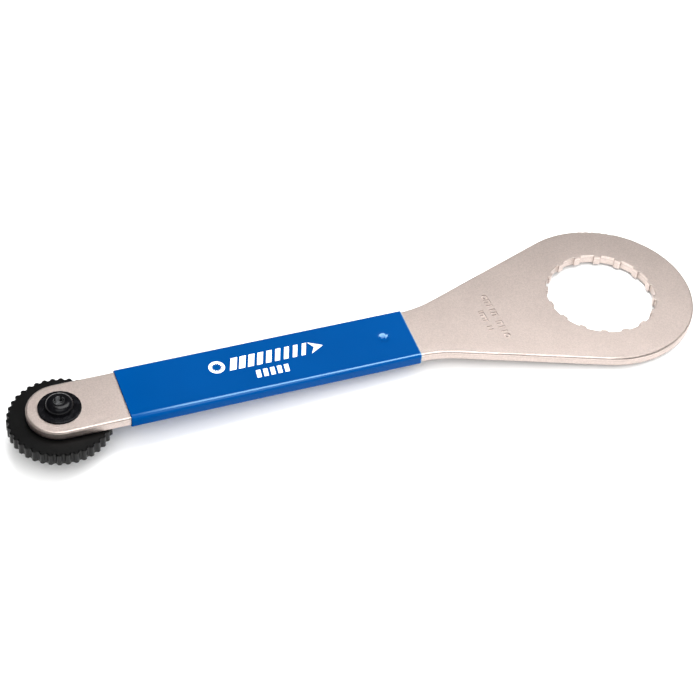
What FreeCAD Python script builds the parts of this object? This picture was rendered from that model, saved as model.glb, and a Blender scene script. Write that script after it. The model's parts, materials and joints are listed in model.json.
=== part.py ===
import FreeCAD, Part
import math
import os

# Bottom bracket cup wrench with a rotating preload-cap driver at the handle's end.
# Frame: origin at the middle of the notched ring, half way through the plate,
# +Z out of the plate's printed side, handle along -X. Units are millimetres.

os.makedirs("parts", exist_ok=True)

# --- driving dimensions -------------------------------------------------------

# flat plate
plate_thickness = 3.8
plate_edge_round = 0.7
ring_outer_r = 37.1
handle_half_width = 12.25
pivot_distance = 220.0
flare_angle = 19.85
flare_fillet_r = 45.0

# notched socket for 44 mm, 16-notch cups
tooth_count = 16
tooth_width = 2.8
socket_root_r = 22.1
socket_tip_r = 21.15
tooth_corner_r = 0.35
socket_edge_round = 0.3

# holes in the handle
pivot_hole_r = 4.05
hook_hole_x = -93.5
hook_hole_r = 2.5

# shallow press marks on the plate
mark_depth = 0.3
mark_stroke = 0.7
# each row: x, height, first y, spacing, and its marks (o ring, i stroke, u joined pair)
mark_rows = (
    (-46.45, 2.65, 10.6, 2.45, "ouiiu-uiio"),
    (-51.2, 2.1, 3.6, 1.75, "iuui-ii"),
)

# dip-moulded grip sleeve, thicker and rounder at its pivot end
grip_wall_pivot_end = 0.95
grip_wall_ring_end = 0.65
grip_corner_r_pivot_end = 2.0
grip_corner_r_ring_end = 1.2
grip_pivot_end_x = -196.6
grip_ring_end_x = -82.2
grip_ring_end_skew = 2.1
grip_fit_gap = 0.02
dimple_r = 2.4
dimple_depth = 0.45

# pivot stack, from the screw head down to the driver
axial_play = 0.05
washer_outer_r = 8.0
washer_thickness = 0.75
washer_bore_r = 3.2
washer_edge_round = 0.3
screw_shank_r = 2.95
screw_length = 16.0
head_r = 5.25
head_height = 3.3
head_rim_height = 0.5
head_top_flat_r = 2.9
socket_across_flats = 4.0
socket_depth = 2.1
socket_lead_in = 0.35
bushing_outer_r = 4.0
bushing_bore_r = 3.05
thrust_washer_r = 11.0
thrust_washer_thickness = 0.25

# knurled thumb wheel
wheel_r = 19.45
wheel_height = 5.4
ridge_count = 38
ridge_crest_r = 1.05
ridge_depth = 0.9
wheel_edge_chamfer = 0.35
wheel_recess_inner_r = 11.5
wheel_recess_outer_r = 16.0
wheel_recess_depth = 1.6
wheel_rest_angle = -0.85

# splined driver
hex_across_flats = 12.0
hex_fit_gap = 0.03
driver_flange_r = 10.0
driver_flange_height = 2.0
driver_spline_count = 8
driver_spline_width = 3.2
driver_spline_tip_r = 7.9
driver_spline_root_r = 6.9
driver_spline_corner_r = 0.4
driver_spline_length = 8.0
driver_end_chamfer = 0.5
driver_bore_r = 3.0
driver_relief_r = 4.2
driver_relief_depth = 3.0

# --- levels along Z -----------------------------------------------------------

plate_top = plate_thickness / 2.0
plate_bottom = -plate_top
washer_bottom = plate_top + axial_play
washer_top = washer_bottom + washer_thickness
wheel_top = plate_bottom - axial_play - thrust_washer_thickness
wheel_bottom = wheel_top - wheel_height
spline_top = wheel_bottom - driver_flange_height
spline_bottom = spline_top - driver_spline_length

UP = FreeCAD.Vector(0, 0, 1)
PIVOT = FreeCAD.Vector(-pivot_distance, 0, 0)
OVERLAP = 1.0


# --- shared shapes ------------------------------------------------------------

def point(x, y, z=0.0):
    return FreeCAD.Vector(x, y, z)


def segment(start, end):
    return Part.LineSegment(start, end).toShape()


def short_arc(centre, start, end):
    """The shorter arc about centre from start to end."""
    radius = (start - centre).Length
    middle = (start - centre).normalize() + (end - centre).normalize()
    middle.normalize()
    return Part.Arc(start, centre + middle * radius, end).toShape()


def cylinder(radius, bottom, top, centre=PIVOT):
    base = point(centre.x, centre.y, bottom)
    return Part.makeCylinder(radius, top - bottom, base, UP)


def tube(outer_r, inner_r, bottom, top):
    """A plain ring about the pivot."""
    bore = cylinder(inner_r, bottom - OVERLAP, top + OVERLAP)
    return cylinder(outer_r, bottom, top).cut(bore)


def prism(edges, bottom, height):
    """A solid extruded up from a closed chain of flat edges."""
    wire = Part.Wire(Part.__sortEdges__(edges))
    face = Part.Face(wire)
    face.translate(point(0, 0, bottom))
    return face.extrude(point(0, 0, height))


def hexagon(across_flats, bottom, top, centre=PIVOT):
    corner_r = across_flats / 2.0 / math.cos(math.radians(30))
    corners = []
    for side in range(6):
        angle = math.radians(60 * side)
        corner_x = centre.x + corner_r * math.cos(angle)
        corner_y = centre.y + corner_r * math.sin(angle)
        corners.append(point(corner_x, corner_y, bottom))
    corners.append(corners[0])
    return Part.Face(Part.makePolygon(corners)).extrude(point(0, 0, top - bottom))


def rounded_lug_edges(count, width, base_r, crest_r, corner_r, inward):
    """Edges of a ring of straight-sided lugs about the origin.

    Inward lugs stand on a bore (crest_r < base_r), outward ones on a shaft.
    Both corners of each flank are rounded by corner_r.
    """
    side = -1.0 if inward else 1.0
    half = width / 2.0
    crest_centre_r = crest_r - side * corner_r
    base_centre_r = base_r + side * corner_r
    crest_centre_u = math.sqrt(crest_centre_r ** 2 - (half - corner_r) ** 2)
    base_centre_u = math.sqrt(base_centre_r ** 2 - (half + corner_r) ** 2)
    edges = []
    last_base = None
    first_base = None
    for index in range(count):
        turn = 2 * math.pi * index / count
        along = point(math.cos(turn), math.sin(turn))
        across = point(-math.sin(turn), math.cos(turn))
        corners = {}
        for flank in (-1, 1):
            crest_centre = along * crest_centre_u + across * (flank * (half - corner_r))
            base_centre = along * base_centre_u + across * (flank * (half + corner_r))
            on_crest = crest_centre * (crest_r / crest_centre_r)
            on_base = base_centre * (base_r / base_centre_r)
            flank_crest = along * crest_centre_u + across * (flank * half)
            flank_base = along * base_centre_u + across * (flank * half)
            edges.append(short_arc(base_centre, on_base, flank_base))
            edges.append(segment(flank_base, flank_crest))
            edges.append(short_arc(crest_centre, flank_crest, on_crest))
            corners[flank] = (on_base, on_crest)
        edges.append(short_arc(point(0, 0), corners[-1][1], corners[1][1]))
        if last_base is None:
            first_base = corners[-1][0]
        else:
            edges.append(short_arc(point(0, 0), last_base, corners[-1][0]))
        last_base = corners[1][0]
    edges.append(short_arc(point(0, 0), last_base, first_base))
    return edges


def edges_at(shape, level, keep):
    """Flat edges of shape that lie wholly at one height and pass the keep test."""
    found = []
    for edge in shape.Edges:
        box = edge.BoundBox
        flat = abs(box.ZMin - level) < 1e-4 and abs(box.ZMax - level) < 1e-4
        if flat and keep(edge):
            found.append(edge)
    return found


# --- wrench plate -------------------------------------------------------------

def outline_edges():
    """Ring, straight flares tangent to it, and the handle with its round end."""
    slope = math.radians(flare_angle)
    run = (ring_outer_r * math.cos(slope) - handle_half_width) / math.sin(slope)
    corner_x = -ring_outer_r * math.sin(slope) - run * math.cos(slope)
    setback = flare_fillet_r * math.tan(slope / 2)
    edges = []
    for side in (1, -1):
        tangent = point(-ring_outer_r * math.sin(slope), side * ring_outer_r * math.cos(slope))
        fillet_start = point(
            corner_x + setback * math.cos(slope),
            side * (handle_half_width + setback * math.sin(slope)),
        )
        fillet_end = point(corner_x - setback, side * handle_half_width)
        fillet_centre = point(corner_x - setback, side * (handle_half_width + flare_fillet_r))
        handle_end = point(-pivot_distance, side * handle_half_width)
        edges.append(segment(tangent, fillet_start))
        edges.append(short_arc(fillet_centre, fillet_start, fillet_end))
        edges.append(segment(fillet_end, handle_end))
    top = point(-ring_outer_r * math.sin(slope), ring_outer_r * math.cos(slope))
    bottom = point(top.x, -top.y)
    edges.append(Part.Arc(top, point(ring_outer_r, 0), bottom).toShape())
    end_top = point(-pivot_distance, handle_half_width)
    end_bottom = point(-pivot_distance, -handle_half_width)
    end_middle = point(-pivot_distance - handle_half_width, 0)
    edges.append(Part.Arc(end_top, end_middle, end_bottom).toShape())
    return edges


def mark_bar(x, y, length):
    """One short pressed stroke that runs along X."""
    bar = Part.makeBox(length, mark_stroke, mark_depth + OVERLAP)
    bar.translate(point(x - length / 2, y - mark_stroke / 2, plate_top - mark_depth))
    return bar


def mark_link(x, y, length):
    """The short pressed stroke that joins the far ends of a double stroke."""
    link = Part.makeBox(mark_stroke, 3 * mark_stroke, mark_depth + OVERLAP)
    end = x + length / 2 - mark_stroke
    link.translate(point(end, y - 1.5 * mark_stroke, plate_top - mark_depth))
    return link


def mark_ring(x, y, radius):
    """One pressed circle."""
    base = point(x, y, plate_top - mark_depth)
    outer = Part.makeCylinder(radius, mark_depth + OVERLAP, base, UP)
    inner = Part.makeCylinder(radius - mark_stroke, mark_depth + OVERLAP, base, UP)
    return outer.cut(inner)


def press_marks():
    """Plain marks in two rows across the plate: rings and strokes, with one gap in each row."""
    marks = []
    for row_x, height, first_y, spacing, pattern in mark_rows:
        for index, mark in enumerate(pattern):
            y = first_y - index * spacing
            if mark == "o":
                marks.append(mark_ring(row_x, y, height / 2))
            elif mark == "i":
                marks.append(mark_bar(row_x, y, height))
            elif mark == "u":
                marks.append(mark_bar(row_x, y - mark_stroke, height))
                marks.append(mark_bar(row_x, y + mark_stroke, height))
                marks.append(mark_link(row_x, y, height))
    return marks


def make_wrench_plate():
    plate = prism(outline_edges(), plate_bottom, plate_thickness)
    outer = edges_at(plate, plate_top, lambda edge: True)
    outer += edges_at(plate, plate_bottom, lambda edge: True)
    plate = plate.makeFillet(plate_edge_round, outer)
    lugs = rounded_lug_edges(
        tooth_count, tooth_width, socket_root_r, socket_tip_r, tooth_corner_r, inward=True
    )
    plate = plate.cut(prism(lugs, plate_bottom - OVERLAP, plate_thickness + 2 * OVERLAP))

    def in_socket(edge):
        return max(abs(edge.BoundBox.XMax), abs(edge.BoundBox.XMin), abs(edge.BoundBox.YMax)) < 24

    rims = edges_at(plate, plate_top, in_socket) + edges_at(plate, plate_bottom, in_socket)
    plate = plate.makeFillet(socket_edge_round, rims)
    holes = [cylinder(pivot_hole_r, plate_bottom - OVERLAP, plate_top + OVERLAP)]
    hook = point(hook_hole_x, 0)
    holes.append(cylinder(hook_hole_r, plate_bottom - OVERLAP, plate_top + OVERLAP, hook))
    plate = plate.cut(holes + press_marks())
    return plate


# --- grip sleeve --------------------------------------------------------------

def rounded_section(x, half_width, half_height, corner_r):
    """A rounded rectangle across the handle at one x."""
    edges = []
    corners = ((1, 1), (-1, 1), (-1, -1), (1, -1))
    for index, (side, level) in enumerate(corners):
        next_side, next_level = corners[(index + 1) % len(corners)]
        centre = point(x, side * (half_width - corner_r), level * (half_height - corner_r))
        across = centre + point(0, side * corner_r, 0)
        above = centre + point(0, 0, level * corner_r)
        start, end = (across, above) if side == level else (above, across)
        edges.append(short_arc(centre, start, end))
        if next_level == level:
            next_end = point(x, next_side * (half_width - corner_r), level * half_height)
        else:
            next_end = point(x, side * half_width, next_level * (half_height - corner_r))
        edges.append(segment(end, next_end))
    return Part.Wire(edges)


def make_grip_sleeve():
    grip_length = grip_ring_end_x - grip_pivot_end_x
    wall_change = (grip_wall_ring_end - grip_wall_pivot_end) / grip_length
    corner_change = (grip_corner_r_ring_end - grip_corner_r_pivot_end) / grip_length
    spare = 4.0
    outer_sections = []
    inner_sections = []
    for x in (grip_pivot_end_x, grip_ring_end_x + spare):
        wall = grip_wall_pivot_end + wall_change * (x - grip_pivot_end_x)
        corner_r = grip_corner_r_pivot_end + corner_change * (x - grip_pivot_end_x)
        outer_sections.append(rounded_section(x, handle_half_width + wall, plate_top + wall, corner_r))
    for x in (grip_pivot_end_x - OVERLAP, grip_ring_end_x + spare + OVERLAP):
        inner_sections.append(
            rounded_section(
                x, handle_half_width + grip_fit_gap, plate_top + grip_fit_gap, plate_edge_round
            )
        )
    sleeve = Part.makeLoft(outer_sections, True, True).cut(Part.makeLoft(inner_sections, True, True))
    trim = Part.makeBox(3 * spare, 60, 20)
    trim.translate(point(0, -30, -10))
    trim.rotate(point(0, 0), UP, -grip_ring_end_skew)
    trim.translate(point(grip_ring_end_x, 0))
    sleeve = sleeve.cut(trim)
    ball_r = (dimple_r ** 2 + dimple_depth ** 2) / (2 * dimple_depth)
    local_top = plate_top + grip_wall_pivot_end + wall_change * (hook_hole_x - grip_pivot_end_x)
    ball = Part.makeSphere(ball_r, point(hook_hole_x, 0, local_top - dimple_depth + ball_r))
    return sleeve.cut(ball)


# --- pivot hardware -----------------------------------------------------------

def make_screw():
    """M6 button-head screw with a hexagon socket."""
    rim = point(-pivot_distance + head_r, 0, washer_top + head_rim_height)
    crown = point(-pivot_distance + head_top_flat_r, 0, washer_top + head_height)
    rise = head_height - head_rim_height
    bulge = 0.28 * rise
    chord = crown - rim
    outward = point(-chord.z, 0, chord.x) * (-1.0 / chord.Length)
    middle = (rim + crown) * 0.5 + outward * bulge
    axis_top = point(-pivot_distance, 0, washer_top + head_height)
    axis_low = point(-pivot_distance, 0, washer_top)
    rim_low = point(-pivot_distance + head_r, 0, washer_top)
    edges = [
        segment(axis_low, rim_low),
        segment(rim_low, rim),
        Part.Arc(rim, middle, crown).toShape(),
        segment(crown, axis_top),
        segment(axis_top, axis_low),
    ]
    profile = Part.Face(Part.Wire(edges))
    head = profile.revolve(PIVOT, UP, 360)
    top = washer_top + head_height
    socket = hexagon(socket_across_flats, top - socket_depth, top + OVERLAP)
    corner_r = socket_across_flats / 2.0 / math.cos(math.radians(30))
    lead_in = Part.makeCone(
        corner_r - socket_lead_in,
        corner_r + socket_lead_in,
        2 * socket_lead_in,
        point(-pivot_distance, 0, top - socket_lead_in),
        UP,
    )
    shank = cylinder(screw_shank_r, washer_top - screw_length, washer_top + OVERLAP)
    screw = head.fuse(shank).cut([socket, lead_in]).removeSplitter()
    tip = edges_at(screw, washer_top - screw_length, lambda edge: True)
    return screw.makeChamfer(0.6, tip)


def make_screw_washer():
    washer = tube(washer_outer_r, washer_bore_r, washer_bottom, washer_top)

    def is_outer(edge):
        return edge.BoundBox.XLength > 2 * washer_outer_r - 0.1

    return washer.makeFillet(washer_edge_round, edges_at(washer, washer_top, is_outer))


def make_pivot_bushing():
    return tube(bushing_outer_r, bushing_bore_r, wheel_top, washer_bottom)


def make_thrust_washer():
    inner_r = bushing_outer_r + 2 * axial_play
    return tube(thrust_washer_r, inner_r, wheel_top, wheel_top + thrust_washer_thickness)


# --- thumb wheel and driver ---------------------------------------------------

def ridge_edges():
    """Round crests joined to round valleys, tangent to one another."""
    half_pitch = math.pi / ridge_count
    crest_centre_r = wheel_r - ridge_crest_r
    floor_r = wheel_r - ridge_depth
    spread = 4 * crest_centre_r * math.sin(half_pitch / 2) ** 2
    step = floor_r - crest_centre_r
    valley_r = (step ** 2 + spread * floor_r - ridge_crest_r ** 2) / (2 * ridge_crest_r - 2 * step - spread)
    valley_centre_r = floor_r + valley_r
    edges = []
    for index in range(ridge_count):
        angle = 2 * half_pitch * index
        crest = point(crest_centre_r * math.cos(angle), crest_centre_r * math.sin(angle))
        joins = []
        for side in (-1, 1):
            at = angle + side * half_pitch
            valley = point(valley_centre_r * math.cos(at), valley_centre_r * math.sin(at))
            joins.append(crest + (valley - crest).normalize() * ridge_crest_r)
        summit = point(wheel_r * math.cos(angle), wheel_r * math.sin(angle))
        edges.append(Part.Arc(joins[0], summit, joins[1]).toShape())
        ahead = angle + half_pitch
        floor = point(floor_r * math.cos(ahead), floor_r * math.sin(ahead))
        next_crest = point(
            crest_centre_r * math.cos(angle + 2 * half_pitch),
            crest_centre_r * math.sin(angle + 2 * half_pitch),
        )
        valley = point(valley_centre_r * math.cos(ahead), valley_centre_r * math.sin(ahead))
        next_join = next_crest + (valley - next_crest).normalize() * ridge_crest_r
        edges.append(Part.Arc(joins[1], floor, next_join).toShape())
    return edges


def make_thumb_wheel():
    wheel = prism(ridge_edges(), wheel_bottom, wheel_height)
    rims = edges_at(wheel, wheel_top, lambda edge: True)
    rims += edges_at(wheel, wheel_bottom, lambda edge: True)
    wheel = wheel.makeChamfer(wheel_edge_chamfer, rims)
    wheel.rotate(point(0, 0), UP, wheel_rest_angle)
    wheel.translate(PIVOT)
    recess = tube(
        wheel_recess_outer_r,
        wheel_recess_inner_r,
        wheel_bottom - OVERLAP,
        wheel_bottom + wheel_recess_depth,
    )
    hexagonal_hole = hexagon(
        hex_across_flats + 2 * hex_fit_gap, wheel_bottom - OVERLAP, wheel_top + OVERLAP
    )
    return wheel.cut([recess, hexagonal_hole])


def make_spline_driver():
    lugs = rounded_lug_edges(
        driver_spline_count,
        driver_spline_width,
        driver_spline_root_r,
        driver_spline_tip_r,
        driver_spline_corner_r,
        inward=False,
    )
    spline = prism(lugs, spline_bottom, driver_spline_length + OVERLAP)
    spline.translate(PIVOT)
    cap = cylinder(driver_spline_tip_r + OVERLAP, spline_bottom, spline_top + OVERLAP)
    lead = Part.makeCone(
        driver_spline_tip_r - driver_end_chamfer,
        driver_spline_tip_r + OVERLAP,
        driver_end_chamfer + OVERLAP,
        point(-pivot_distance, 0, spline_bottom),
        UP,
    )
    body_above = cylinder(
        driver_spline_tip_r + OVERLAP, spline_bottom + driver_end_chamfer + OVERLAP, spline_top + OVERLAP
    )
    spline = spline.common(cap.common(lead.fuse(body_above)))
    flange = cylinder(driver_flange_r, spline_top, wheel_bottom)
    rims = edges_at(flange, spline_top, lambda edge: True)
    flange = flange.makeChamfer(driver_end_chamfer, rims)
    shank = hexagon(hex_across_flats, wheel_bottom - OVERLAP, wheel_top)
    driver = spline.fuse([flange, shank]).removeSplitter()
    bore = cylinder(driver_bore_r, spline_bottom - OVERLAP, wheel_top + OVERLAP)
    relief = cylinder(driver_relief_r, spline_bottom - OVERLAP, spline_bottom + driver_relief_depth)
    return driver.cut([bore, relief])


# --- write every piece --------------------------------------------------------

pieces = {
    "wrench_plate": make_wrench_plate(),
    "grip_sleeve": make_grip_sleeve(),
    "button_head_screw": make_screw(),
    "screw_washer": make_screw_washer(),
    "pivot_bushing": make_pivot_bushing(),
    "thrust_washer": make_thrust_washer(),
    "thumb_wheel": make_thumb_wheel(),
    "spline_driver": make_spline_driver(),
}

for name, shape in pieces.items():
    print(name, "valid", shape.isValid(), "solids", len(shape.Solids), "volume", round(shape.Volume, 1))
    shape.exportStep("parts/" + name + ".step")
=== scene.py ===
import json
import math

import bmesh
import bpy
from mathutils import Matrix, Vector, noise


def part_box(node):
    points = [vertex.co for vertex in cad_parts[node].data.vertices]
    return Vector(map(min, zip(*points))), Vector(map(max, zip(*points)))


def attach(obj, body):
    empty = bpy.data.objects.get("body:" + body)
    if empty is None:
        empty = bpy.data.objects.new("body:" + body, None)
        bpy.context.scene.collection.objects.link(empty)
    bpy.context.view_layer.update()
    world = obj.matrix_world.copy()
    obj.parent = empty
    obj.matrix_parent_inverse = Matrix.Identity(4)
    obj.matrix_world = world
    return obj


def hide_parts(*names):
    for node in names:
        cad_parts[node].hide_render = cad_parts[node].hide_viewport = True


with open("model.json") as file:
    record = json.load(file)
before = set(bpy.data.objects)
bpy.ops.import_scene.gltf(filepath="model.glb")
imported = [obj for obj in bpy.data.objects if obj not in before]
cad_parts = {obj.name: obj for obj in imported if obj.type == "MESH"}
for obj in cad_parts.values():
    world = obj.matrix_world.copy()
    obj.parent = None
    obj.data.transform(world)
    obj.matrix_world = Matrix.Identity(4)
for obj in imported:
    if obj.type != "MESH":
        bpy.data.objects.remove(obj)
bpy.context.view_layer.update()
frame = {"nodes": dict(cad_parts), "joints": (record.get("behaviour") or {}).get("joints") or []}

MM = 0.001
scene = bpy.context.scene

# --- the frame's own sizes ------------------------------------------------------

plate_low, plate_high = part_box("wrench_plate")
sleeve_low, sleeve_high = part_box("grip_sleeve")
driver_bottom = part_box("spline_driver")[0].z
pivot = Vector(frame["joints"][0]["pos_m"])
plate_top = plate_high.z
plate_bottom = plate_low.z
handle_half_width = 12.25 * MM
handle_half_height = plate_top

# the sleeve runs along X; its ring end is skewed, and its wall and corners thin out towards it
grip_start = sleeve_low.x
grip_skew = math.tan(math.radians(2.1))
grip_end = sleeve_high.x - grip_skew * sleeve_high.y
grip_length = grip_end - grip_start
wall_start = sleeve_high.y - handle_half_width
wall_end = 0.65 * MM
corner_start = 2.0 * MM
corner_end = 1.2 * MM
dimple = Vector((-93.5 * MM, 0.0))

# the press marks lie between these two places along the plate
marks_start = -54.0 * MM
marks_end = -43.6 * MM

WRENCH = "wrench"


# --- node material helpers ------------------------------------------------------

class Nodes:
    """A material's node tree, with short calls for the nodes that the finishes share."""

    def __init__(self, name):
        self.material = bpy.data.materials.new(name)
        self.material.use_nodes = True
        self.tree = self.material.node_tree
        self.shader = self.tree.nodes["Principled BSDF"]
        coords = self.add("ShaderNodeTexCoord")
        self.place = coords.outputs["Object"]

    def add(self, kind, **values):
        node = self.tree.nodes.new(kind)
        for key, value in values.items():
            setattr(node, key, value)
        return node

    def link(self, source, target):
        self.tree.links.new(source, target)

    def set(self, **values):
        for key, value in values.items():
            self.shader.inputs[key.replace("_", " ")].default_value = value

    def along(self, axis):
        """The place on the part along one axis, in metres."""
        parts = self.add("ShaderNodeSeparateXYZ")
        self.link(self.place, parts.inputs["Vector"])
        return parts.outputs[axis]

    def times(self, first, second):
        node = self.add("ShaderNodeMath", operation="MULTIPLY")
        self.link(first, node.inputs[0])
        self.link(second, node.inputs[1])
        return node.outputs["Value"]

    def blend(self, factor, first, second):
        """A mix of two colours; each is a socket or a plain colour."""
        node = self.add("ShaderNodeMix", data_type="RGBA")
        self.link(factor, node.inputs["Factor"])
        for name, side in (("A", first), ("B", second)):
            if isinstance(side, tuple):
                node.inputs[name].default_value = (*side, 1.0)
            else:
                self.link(side, node.inputs[name])
        return node.outputs["Result"]

    def tinted(self, first, second):
        """One colour multiplied by another."""
        node = self.add("ShaderNodeMix", data_type="RGBA", blend_type="MULTIPLY")
        node.inputs["Factor"].default_value = 1.0
        self.link(first, node.inputs["A"])
        self.link(second, node.inputs["B"])
        return node.outputs["Result"]

    def noise(self, scale, detail, roughness):
        node = self.add("ShaderNodeTexNoise")
        node.inputs["Scale"].default_value = scale
        node.inputs["Detail"].default_value = detail
        node.inputs["Roughness"].default_value = roughness
        self.link(self.place, node.inputs["Vector"])
        return node.outputs["Fac"]

    def ramp(self, value, *stops):
        """A colour for a value, read between stops of (value, colour)."""
        node = self.add("ShaderNodeValToRGB")
        elements = node.color_ramp.elements
        while len(elements) < len(stops):
            elements.new(0.5)
        for element, (position, colour) in zip(elements, stops):
            element.position = position
            element.color = (*colour, 1.0)
        self.link(value, node.inputs["Fac"])
        return node.outputs["Color"]

    def remap(self, value, low, high, from_low=0.3, from_high=0.7):
        """A value carried from the range from_low..from_high to low..high, held at both ends."""
        node = self.add("ShaderNodeMapRange")
        node.inputs["From Min"].default_value = from_low
        node.inputs["From Max"].default_value = from_high
        node.inputs["To Min"].default_value = low
        node.inputs["To Max"].default_value = high
        self.link(value, node.inputs["Value"])
        return node.outputs["Result"]

    def bump(self, height, strength, distance, base=None):
        node = self.add("ShaderNodeBump")
        node.inputs["Strength"].default_value = strength
        node.inputs["Distance"].default_value = distance
        self.link(height, node.inputs["Height"])
        if base is not None:
            self.link(base, node.inputs["Normal"])
        return node.outputs["Normal"]

    def finish(self, colour=None, roughness=None, normal=None):
        for name, socket in (("Base Color", colour), ("Roughness", roughness), ("Normal", normal)):
            if socket is not None:
                self.link(socket, self.shader.inputs[name])
        return self.material


def grey(value):
    return (value, value, value)


def plated_steel():
    """Satin nickel plate over a blasted grain, with painted shade on its walls and painted
    highlight and shade in the press marks.
    """
    n = Nodes("satin_plate")
    n.set(Metallic=1.0)
    clouds = n.noise(60.0, 3.0, 0.6)
    grain = n.noise(2100.0, 2.0, 0.6)
    pits = n.noise(900.0, 2.0, 0.5)
    colour = n.ramp(clouds, (0.30, (0.720, 0.613, 0.563)), (0.70, (0.770, 0.656, 0.602)))
    speck = n.tinted(
        n.ramp(grain, (0.42, grey(0.90)), (0.58, grey(1.0))),
        n.ramp(n.noise(1250.0, 1.0, 0.5), (0.40, grey(0.93)), (0.60, grey(1.0))),
    )
    level = n.remap(n.along("Z"), 0.0, 1.0, plate_bottom, plate_top)
    # painted shade on the plate's walls: darker towards the bottom, with a dark line just below the
    # top edge; the top keeps its full colour
    wall = n.ramp(
        level,
        (0.0, grey(0.75)), (0.16, grey(0.85)), (0.58, grey(0.88)),
        (0.70, grey(0.74)), (0.79, grey(1.0)),
    )
    fade = 0.1 * MM
    # in the press marks' stretch along X, a painted highlight brightens the stroke floors and
    # painted shade darkens the stroke walls just under the top
    near_marks = n.times(
        n.remap(n.along("X"), 0.0, 1.0, marks_start, marks_start + fade),
        n.remap(n.along("X"), 1.0, 0.0, marks_end - fade, marks_end),
    )
    mark_light_and_shade = n.ramp(
        level,
        (0.88, grey(0.8)), (0.90, grey(1.0)), (0.93, grey(1.0)),
        (0.937, grey(0.42)), (0.99, grey(0.5)), (0.996, grey(0.8)),
    )
    marks_painted_light = n.blend(near_marks, grey(0.8), mark_light_and_shade)
    rough = n.remap(pits, 0.40, 0.48)
    normal = n.bump(grain, 0.8, 0.00008)
    normal = n.bump(pits, 0.4, 0.00006, normal)
    colour = n.tinted(n.tinted(colour, speck), n.tinted(wall, marks_painted_light))
    return n.finish(colour, rough, normal)


def blue_vinyl():
    """Deep blue dipped vinyl with an orange-peel skin: glossy on top, duller at the sides."""
    n = Nodes("dipped_vinyl")
    n.set(Specular_Tint=(0.50, 0.85, 1.0, 1.0))
    dull_end = -194.0 * MM
    full_gloss = -176.0 * MM
    brightest = -84.0 * MM
    by_height = n.remap(n.along("Z"), 0.05, 1.0, 1.8 * MM, 2.4 * MM)
    by_length = n.remap(n.along("X"), 0.12, 0.85, dull_end, full_gloss)
    towards_ring = n.remap(n.along("X"), 1.0, 1.45, full_gloss, brightest)
    gloss = n.times(n.times(by_height, by_length), towards_ring)
    n.link(gloss, n.shader.inputs["Specular IOR Level"])
    drift = n.noise(28.0, 2.0, 0.5)
    peel = n.noise(420.0, 2.0, 0.45)
    fine = n.noise(1800.0, 2.0, 0.5)
    colour = n.ramp(drift, (0.30, (0.0, 0.045, 0.184)), (0.70, (0.0, 0.050, 0.205)))
    rough = n.remap(fine, 0.10, 0.15)
    normal = n.bump(peel, 0.10, 0.00008)

    # a painted highlight: a pale band along the sleeve's ring end, leaning with the sleeve's end
    lean = n.add("ShaderNodeMath", operation="MULTIPLY_ADD")
    n.link(n.along("Y"), lean.inputs[0])
    lean.inputs[1].default_value = -grip_skew
    n.link(n.along("X"), lean.inputs[2])
    end_highlight_start = grip_end - 0.45 * MM
    end_highlight_end = grip_end - 0.25 * MM
    end_highlight = n.remap(lean.outputs["Value"], 0.0, 0.8, end_highlight_start, end_highlight_end)
    return n.finish(n.blend(end_highlight, colour, (0.16, 0.30, 0.42)), rough, normal)


def print_ink():
    """White pad-printed ink with a faint blue show-through where it is thin."""
    n = Nodes("pad_print")
    n.set(Specular_IOR_Level=0.4)
    cover = n.noise(1500.0, 3.0, 0.6)
    colour = n.ramp(cover, (0.25, (0.80, 0.86, 0.93)), (0.55, (0.93, 0.94, 0.95)))
    rough = n.remap(cover, 0.30, 0.42)
    return n.finish(colour, rough)


def black_nylon():
    """Black moulded nylon with a fine eroded texture."""
    n = Nodes("moulded_nylon")
    n.set(Specular_IOR_Level=0.16)
    texture = n.noise(2200.0, 4.0, 0.65)
    drift = n.noise(120.0, 2.0, 0.5)
    colour = n.ramp(drift, (0.30, grey(0.0012)), (0.70, grey(0.0022)))
    rough = n.remap(texture, 0.30, 0.40)
    normal = n.bump(texture, 0.5, 0.00006)
    return n.finish(colour, rough, normal)


def black_oxide(name, low, high, worn_r=None):
    """Oiled black oxide on steel; within worn_r of the pivot's axis a key has rubbed it bright."""
    n = Nodes(name)
    n.set(Specular_IOR_Level=0.17)
    stain = n.noise(500.0, 3.0, 0.6)
    fine = n.noise(3000.0, 2.0, 0.5)
    colour = n.ramp(stain, (0.30, (0.002, 0.002, 0.0025)), (0.70, (0.004, 0.004, 0.005)))
    rough = n.remap(stain, low, high)
    normal = n.bump(fine, 0.12, 0.00003)
    if worn_r is not None:
        spread = n.add("ShaderNodeCombineXYZ")
        n.link(n.along("X"), spread.inputs["X"])
        n.link(n.along("Y"), spread.inputs["Y"])
        away = n.add("ShaderNodeVectorMath", operation="DISTANCE")
        n.link(spread.outputs["Vector"], away.inputs[0])
        away.inputs[1].default_value = (pivot.x, pivot.y, 0.0)
        inside = n.remap(away.outputs["Value"], 1.0, 0.0, worn_r, worn_r + 0.15 * MM)
        patches = n.remap(stain, 0.0, 1.0, 0.42, 0.52)
        worn = n.times(inside, patches)
        n.link(worn, n.shader.inputs["Metallic"])
        colour = n.blend(worn, colour, (0.24, 0.245, 0.25))
    return n.finish(colour, rough, normal)


def turned_steel(name, colour_low, colour_high):
    """Bright turned steel with a fine, even grain."""
    n = Nodes(name)
    n.set(Metallic=1.0)
    fine = n.noise(1400.0, 3.0, 0.6)
    colour = n.ramp(fine, (0.30, colour_low), (0.70, colour_high))
    rough = n.remap(fine, 0.24, 0.36)
    normal = n.bump(fine, 0.15, 0.00003)
    return n.finish(colour, rough, normal)


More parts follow.
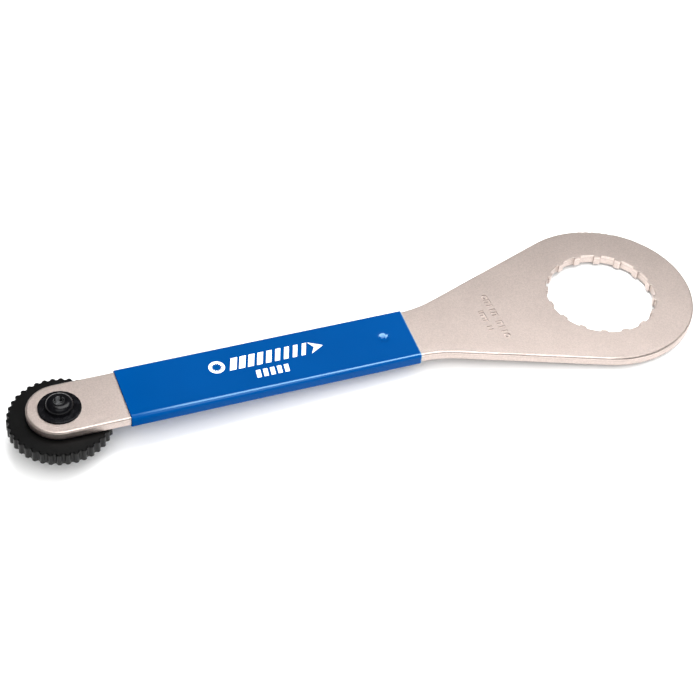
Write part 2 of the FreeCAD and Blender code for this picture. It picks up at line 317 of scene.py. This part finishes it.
def natural_nylon():
    """Off-white nylon sheet."""
    n = Nodes("nylon_sheet")
    n.set(Specular_IOR_Level=0.4)
    drift = n.noise(300.0, 2.0, 0.5)
    colour = n.ramp(drift, (0.30, (0.62, 0.60, 0.54)), (0.70, (0.68, 0.66, 0.60)))
    rough = n.remap(drift, 0.40, 0.50)
    return n.finish(colour, rough)


vinyl_finish = blue_vinyl()
ink_finish = print_ink()
socket_reach = 2.05 * MM

carried_over = {
    "wrench_plate": plated_steel(),
    "button_head_screw": black_oxide("oxide_screw", 0.16, 0.26, socket_reach),
    "screw_washer": black_oxide("oxide_washer", 0.20, 0.32),
    "pivot_bushing": turned_steel("turned_bushing", grey(0.50), grey(0.56)),
    "thrust_washer": natural_nylon(),
    "thumb_wheel": black_nylon(),
    "spline_driver": black_oxide("oxide_driver", 0.30, 0.42),
}
for node, finish in carried_over.items():
    frame["nodes"][node].material_slots[0].material = finish


# --- mesh helpers -----------------------------------------------------------------

def make_object(name, bm, finish, body, smooth_angle=40.0):
    """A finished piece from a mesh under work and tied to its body."""
    mesh = bpy.data.meshes.new(name)
    bmesh.ops.recalc_face_normals(bm, faces=bm.faces)
    bm.to_mesh(mesh)
    bm.free()
    piece = bpy.data.objects.new(name, mesh)
    scene.collection.objects.link(piece)
    piece.data.materials.append(finish)
    for face in mesh.polygons:
        face.use_smooth = True
    mesh.set_sharp_from_angle(angle=math.radians(smooth_angle))
    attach(piece, body)
    return piece


def add_band(bm, first, second):
    """A closed band of faces between two rings with the same number of vertices."""
    for index in range(len(first)):
        following = (index + 1) % len(first)
        bm.faces.new((first[index], first[following], second[following], second[index]))


# --- grip sleeve --------------------------------------------------------------------

def section_points(half_width, half_height, corner, per_corner=9, across=90, up=5):
    """Points round a rounded rectangle in (y, z), the same number for every size."""
    middle_y = half_width - corner
    middle_z = half_height - corner
    points = []
    corners = ((1, 1, 0), (-1, 1, 90), (-1, -1, 180), (1, -1, 270))
    for index, (side, level, first) in enumerate(corners):
        centre = Vector((side * middle_y, level * middle_z))
        for step in range(per_corner):
            angle = math.radians(first + 90.0 * step / (per_corner - 1))
            points.append(centre + corner * Vector((math.cos(angle), math.sin(angle))))
        next_side, next_level, next_first = corners[(index + 1) % 4]
        start = points[-1]
        next_centre = Vector((next_side * middle_y, next_level * middle_z))
        turn = math.radians(next_first)
        end = next_centre + corner * Vector((math.cos(turn), math.sin(turn)))
        count = across if level == next_level else up
        for step in range(1, count):
            points.append(start.lerp(end, step / count))
    return points


def grip_x(along, y):
    """The place on X at a share along the sleeve; the far end is skewed."""
    return grip_start + grip_length * along + grip_skew * y * along


def grip_wall(along):
    return wall_start + (wall_end - wall_start) * along


def grip_ring(along, offset, shrink):
    """Ring of points at a share along the sleeve; shrink pulls the skin in for the end lips."""
    smallest_corner = 0.35 * MM
    wall = grip_wall(along) - shrink
    corner = max(corner_start + (corner_end - corner_start) * along - shrink, smallest_corner)
    section = section_points(handle_half_width + wall, handle_half_height + wall, corner)
    return [Vector((grip_x(along, y) + offset, y, z)) for y, z in section]


def settle(co):
    """The vinyl's slight unevenness, and the sag into the hook hole with a small fold across it."""
    unevenness = 0.035 * MM
    sag_r = 2.3 * MM
    sag_depth = 0.75 * MM
    fold_height = 0.16 * MM
    fold_offset = 0.35 * MM
    fold_width = 0.38 * MM
    wave = noise.noise(Vector((co.x * 38.0, co.y * 90.0, co.z * 90.0)))
    drop = unevenness * (wave - 0.6)
    if co.z > handle_half_height:
        inside = Vector((co.x, co.y)) - dimple
        away = inside.length / sag_r
        drop -= sag_depth * math.exp(-(away ** 2) * 1.6)
        fold = (inside.x * 0.8 - inside.y * 0.6 - fold_offset) / fold_width
        drop += fold_height * math.exp(-(fold ** 2) - away ** 2 * 1.2)
    inward = Vector((0.0, co.y, co.z * 4.0)).normalized()
    return co + inward * drop


def grip_stations():
    """Where the sleeve's rings sit: (share along, offset, shrink), close together at the dimple."""
    lip = 0.28 * MM
    lip_steps = 4
    count = 150
    fine_step = 0.0022
    fine_count = 16
    end_gap = 0.004
    lips = []
    for step in range(lip_steps + 1):
        angle = math.radians(90.0 * step / lip_steps)
        lips.append((lip * (1 - math.cos(angle)), lip * (1 - math.sin(angle))))
    near_hole = (dimple.x - grip_start) / grip_length
    shares = {step / count for step in range(1, count)}
    shares |= {near_hole + step * fine_step for step in range(-fine_count, fine_count + 1)}
    stations = [(0.0, offset, shrink) for offset, shrink in lips]
    stations += [(share, 0.0, 0.0) for share in sorted(shares) if end_gap < share < 1 - end_gap]
    stations += [(1.0, -offset, shrink) for offset, shrink in reversed(lips)]
    return stations


def make_grip():
    bm = bmesh.new()
    rows = []
    for station in grip_stations():
        rows.append([bm.verts.new(settle(co)) for co in grip_ring(*station)])
    for first, second in zip(rows, rows[1:]):
        add_band(bm, first, second)

    # each open end closes down to the handle, and a short way in under the skin
    clearance = 0.02 * MM
    inner_corner = 0.5 * MM
    depth = 6.0 * MM
    inner_half_width = handle_half_width + clearance
    inner_half_height = handle_half_height + clearance
    for along, row, inward in ((0.0, rows[0], depth), (1.0, rows[-1], -depth)):
        section = section_points(inner_half_width, inner_half_height, inner_corner)
        inner = [bm.verts.new((grip_x(along, y), y, z)) for y, z in section]
        deep = [bm.verts.new(vert.co + Vector((inward, 0, 0))) for vert in inner]
        add_band(bm, inner, row)
        add_band(bm, deep, inner)
    piece = make_object("grip_skin", bm, vinyl_finish, WRENCH)
    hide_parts("grip_sleeve")


make_grip()


# --- printed marks on the grip --------------------------------------------------------

def top_of_grip(x):
    return handle_half_height + grip_wall((x - grip_start) / grip_length)


ink_lift = 0.02 * MM
ink_thickness = 0.03 * MM


def add_ink(bm, outline, hole=None):
    """One flat printed shape from an outline in millimetres."""
    loops = [outline] if hole is None else [outline, hole]
    edges = []
    for loop in loops:
        verts = [bm.verts.new((x * MM, y * MM, 0.0)) for x, y in loop]
        for index in range(len(verts)):
            edges.append(bm.edges.new((verts[index], verts[(index + 1) % len(verts)])))
    bmesh.ops.triangle_fill(bm, edges=edges, use_beauty=True)


def circle(cx, cy, radius, count=48):
    angles = [2 * math.pi * index / count for index in range(count)]
    return [(cx + radius * math.cos(angle), cy + radius * math.sin(angle)) for angle in angles]


def notched(cx, cy, outer, inner, count, share=0.5):
    """A toothed outline about a centre; share is the part of a pitch that a tooth takes."""
    half = share / 2
    tooth = ((inner, -half), (outer, -half), (outer, half), (inner, half))
    points = []
    for index in range(count):
        for radius, offset in tooth:
            angle = 2 * math.pi * (index + offset) / count
            points.append((cx + radius * math.cos(angle), cy + radius * math.sin(angle)))
    return points


def slanted(x, y, width, height, lean):
    return [(x, y), (x + width, y), (x + width + lean, y + height), (x + lean, y + height)]


def make_print():
    """A toothed ring, nine slanted bars and an arrow in one row, and five short bars below."""
    row_y = -0.2
    row_height = 6.0
    middle_y = row_y + row_height / 2
    ring_x = -159.6
    bars_x = -155.4
    bar_pitch = 3.55
    bar_width = 2.6
    bar_narrowing = 0.12
    bar_lean = 2.2
    arrow_tip = -117.4
    arrow_back = arrow_tip - 5.4
    arrow_notch = arrow_tip - 3.6
    low_x = -146.6
    low_y = -6.6
    low_pitch = 2.75

    bm = bmesh.new()
    add_ink(bm, circle(ring_x, middle_y, 3.1), notched(ring_x, middle_y, 2.1, 1.65, 12))
    for index in range(9):
        width = bar_width - bar_narrowing * index
        add_ink(bm, slanted(bars_x + bar_pitch * index, row_y, width, row_height, bar_lean))
    add_ink(bm, [
        (arrow_back, row_y), (arrow_tip, middle_y),
        (arrow_back, row_y + row_height), (arrow_notch, middle_y),
    ])
    for index in range(5):
        add_ink(bm, slanted(low_x + low_pitch * index, low_y, 1.7, 3.8, 0.5))

    # the flat shapes are laid on the sleeve and given their thickness
    shapes = list(bm.faces)
    for vert in bm.verts:
        vert.co.z = top_of_grip(vert.co.x) + ink_lift
    lifted = bmesh.ops.extrude_face_region(bm, geom=shapes)
    for item in lifted["geom"]:
        if isinstance(item, bmesh.types.BMVert):
            item.co.z += ink_thickness
    make_object("grip_print", bm, ink_finish, WRENCH, 30.0)


make_print()


# --- floor, light and camera ------------------------------------------------------------

# the tool rests on its ring's far edge and on the driver's nose, so the floor is tilted to suit
ring_edge = 0.4 * MM
nose_r = 7.4 * MM
ring_contact = Vector((plate_high.x - ring_edge, 0.0, plate_bottom))
nose_contact = Vector((pivot.x + nose_r, 0.0, driver_bottom))
floor_tilt = math.atan2(ring_contact.z - nose_contact.z, ring_contact.x - nose_contact.x)


def make_floor():
    bm = bmesh.new()
    size = 3.0
    steps = 24
    for row in range(steps + 1):
        for column in range(steps + 1):
            bm.verts.new((size * (column / steps - 0.5), size * (row / steps - 0.5), 0.0))
    bm.verts.ensure_lookup_table()
    for row in range(steps):
        for column in range(steps):
            first = row * (steps + 1) + column
            above = first + steps + 1
            bm.faces.new([bm.verts[index] for index in (first, first + 1, above + 1, above)])
    mesh = bpy.data.meshes.new("floor")
    bm.to_mesh(mesh)
    bm.free()
    floor = bpy.data.objects.new("floor", mesh)
    scene.collection.objects.link(floor)
    floor.rotation_euler = (0.0, -floor_tilt, 0.0)
    floor.location = ring_contact
    n = Nodes("studio_floor")
    n.set(Specular_IOR_Level=0.1)
    paper = n.noise(40.0, 2.0, 0.5)
    colour = n.ramp(paper, (0.3, (0.90, 0.90, 0.895)), (0.7, (0.92, 0.92, 0.915)))
    rough = n.remap(paper, 0.85, 0.95)
    mesh.materials.append(n.finish(colour, rough))


make_floor()


def aim(thing, target):
    direction = Vector(target) - thing.location
    thing.rotation_euler = direction.to_track_quat("-Z", "Y").to_euler()


def place_light(name, light, place, target):
    thing = bpy.data.objects.new(name, light)
    thing.location = place
    scene.collection.objects.link(thing)
    aim(thing, target)
    return thing


def soft_light(name, place, target, width, height, power):
    light = bpy.data.lights.new(name, "AREA")
    light.shape = "RECTANGLE"
    light.size = width
    light.size_y = height
    light.energy = power
    place_light(name, light, place, target)


tool_middle = Vector((-0.105, 0.0, 0.0))
overhead_place = Vector((0.03, 0.075, 0.55))
below_overhead = Vector((0.03, 0.075, 0.0))
front_place = Vector((-0.30, -0.85, 1.10))
soft_light("overhead", overhead_place, below_overhead, 0.60, 0.40, 5.6)
soft_light("front_card", front_place, tool_middle, 1.3, 0.7, 5.5)

# a wide soft fill from the front card's side, hidden from reflections
fill = bpy.data.lights.new("front_fill", "SUN")
fill.angle = math.radians(65.0)
fill.energy = 3.4
place_light("front_fill", fill, front_place, tool_middle).visible_glossy = False

world = bpy.data.worlds.new("studio")
world.use_nodes = True
background = world.node_tree.nodes["Background"]
background.inputs["Color"].default_value = (1.0, 1.0, 1.0, 1.0)
background.inputs["Strength"].default_value = 0.03
scene.world = world
scene.view_settings.view_transform = "Standard"

# the camera: a turn about Z, a height, a roll, and a distance to the place it looks at
camera_azimuth = math.radians(-24.964)
camera_elevation = math.radians(44.819)
camera_roll = math.radians(6.096)
camera_target = Vector((-106.414 * MM, 1.583 * MM, plate_bottom))
camera_distance = 681.506 * MM
sensor_width = 36.0
lens_length = 91.49323

camera_data = bpy.data.cameras.new("camera")
camera_data.sensor_width = sensor_width
camera_data.lens = lens_length
camera = bpy.data.objects.new("camera", camera_data)
back = Vector((
    math.sin(camera_azimuth) * math.cos(camera_elevation),
    -math.cos(camera_azimuth) * math.cos(camera_elevation),
    math.sin(camera_elevation),
))
right = (-back).cross(Vector((0, 0, 1))).normalized()
up = right.cross(-back)
turned_right = right * math.cos(camera_roll) + up * math.sin(camera_roll)
turned_up = up * math.cos(camera_roll) - right * math.sin(camera_roll)
facing = Matrix((turned_right, turned_up, back)).transposed().to_4x4()
camera.matrix_world = Matrix.Translation(camera_target + back * camera_distance) @ facing
scene.collection.objects.link(camera)
scene.camera = camera
